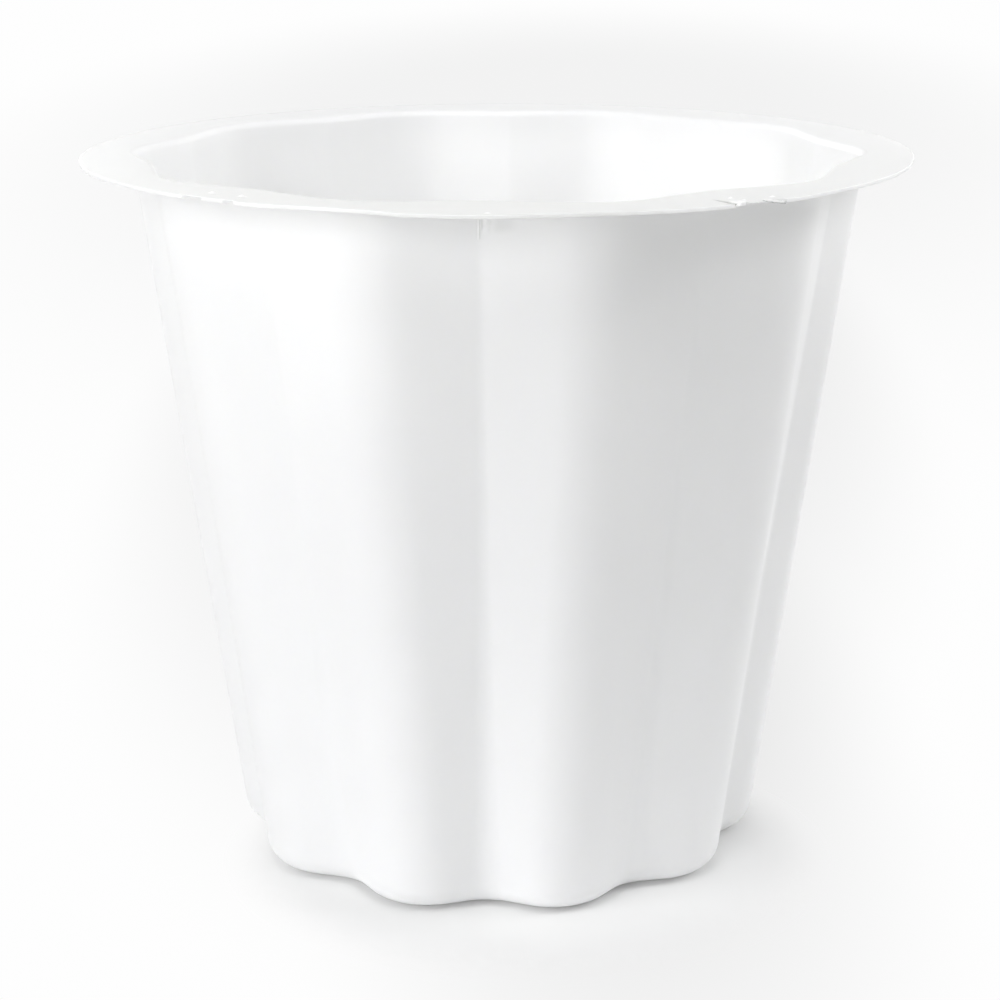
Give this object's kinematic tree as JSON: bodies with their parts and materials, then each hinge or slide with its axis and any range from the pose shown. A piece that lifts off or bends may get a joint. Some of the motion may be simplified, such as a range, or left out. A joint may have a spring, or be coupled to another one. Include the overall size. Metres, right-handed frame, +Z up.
{
  "type": "planter pot",
  "caption": "Tapered plant pot with upright flutes, a wide thin flat rim, a rounded foot, and a pull-out drain plug in its raised base.",
  "frame": {"origin": "on the floor, on the pot's axis, at the middle of the ring that the pot stands on", "axes": "+Z up along the pot's axis, -Y towards the front, where a valley between two flutes faces the viewer, and +X through a crest"},
  "size_m": [0.19, 0.19, 0.164],
  "materials": {
    "pot_plastic": "white thin sheet, satin to semi-gloss",
    "plug_rubber": "soft moulded rubber, matte"
  },
  "bodies": {
    "pot": {"pot_body": "pot_plastic"},
    "plug": {"drain_plug": "plug_rubber"}
  },
  "joints": [
    {"name": "drain_plug_pull", "type": "slide", "parent": "pot", "child": "plug", "axis": [0, 0, 1], "range_m": [0, 0.05]}
  ]
}
